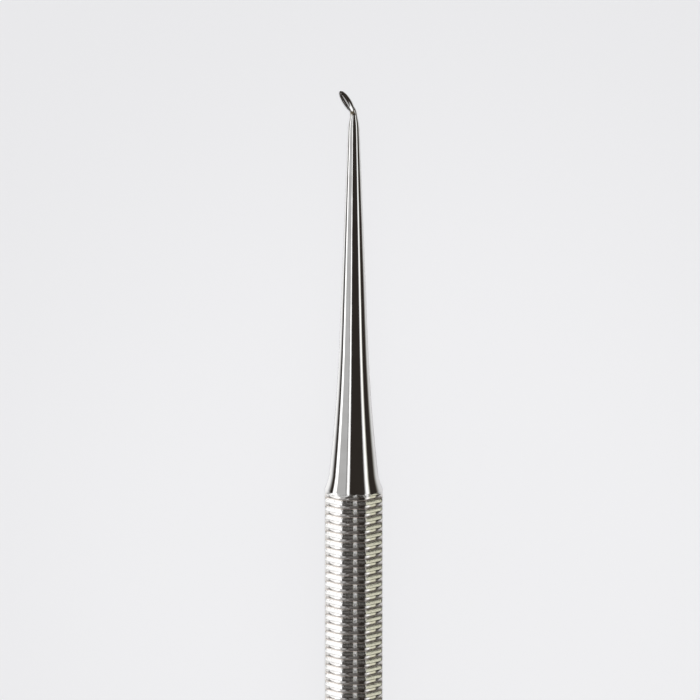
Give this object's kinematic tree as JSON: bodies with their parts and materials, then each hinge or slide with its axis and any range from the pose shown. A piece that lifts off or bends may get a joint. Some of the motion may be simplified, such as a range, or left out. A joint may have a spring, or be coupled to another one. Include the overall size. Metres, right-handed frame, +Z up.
{
  "type": "spoon excavator",
  "caption": "Single-ended spoon excavator: ringed octagonal steel handle, slender tapered shank and a small hollow spoon on a bent neck, for scooping out soft material.",
  "frame": {"origin": "middle of the bounding box, on the flat that the tool lies on", "axes": "+Y along the handle to the spoon, +Z up from the flat it lies on; the spoon leans to -X and +Z"},
  "size_m": [0.0064, 0.1502, 0.0063],
  "materials": {
    "steel": "bright polished"
  },
  "bodies": {
    "root": {"spoon_excavator": "steel"}
  },
  "joints": []
}
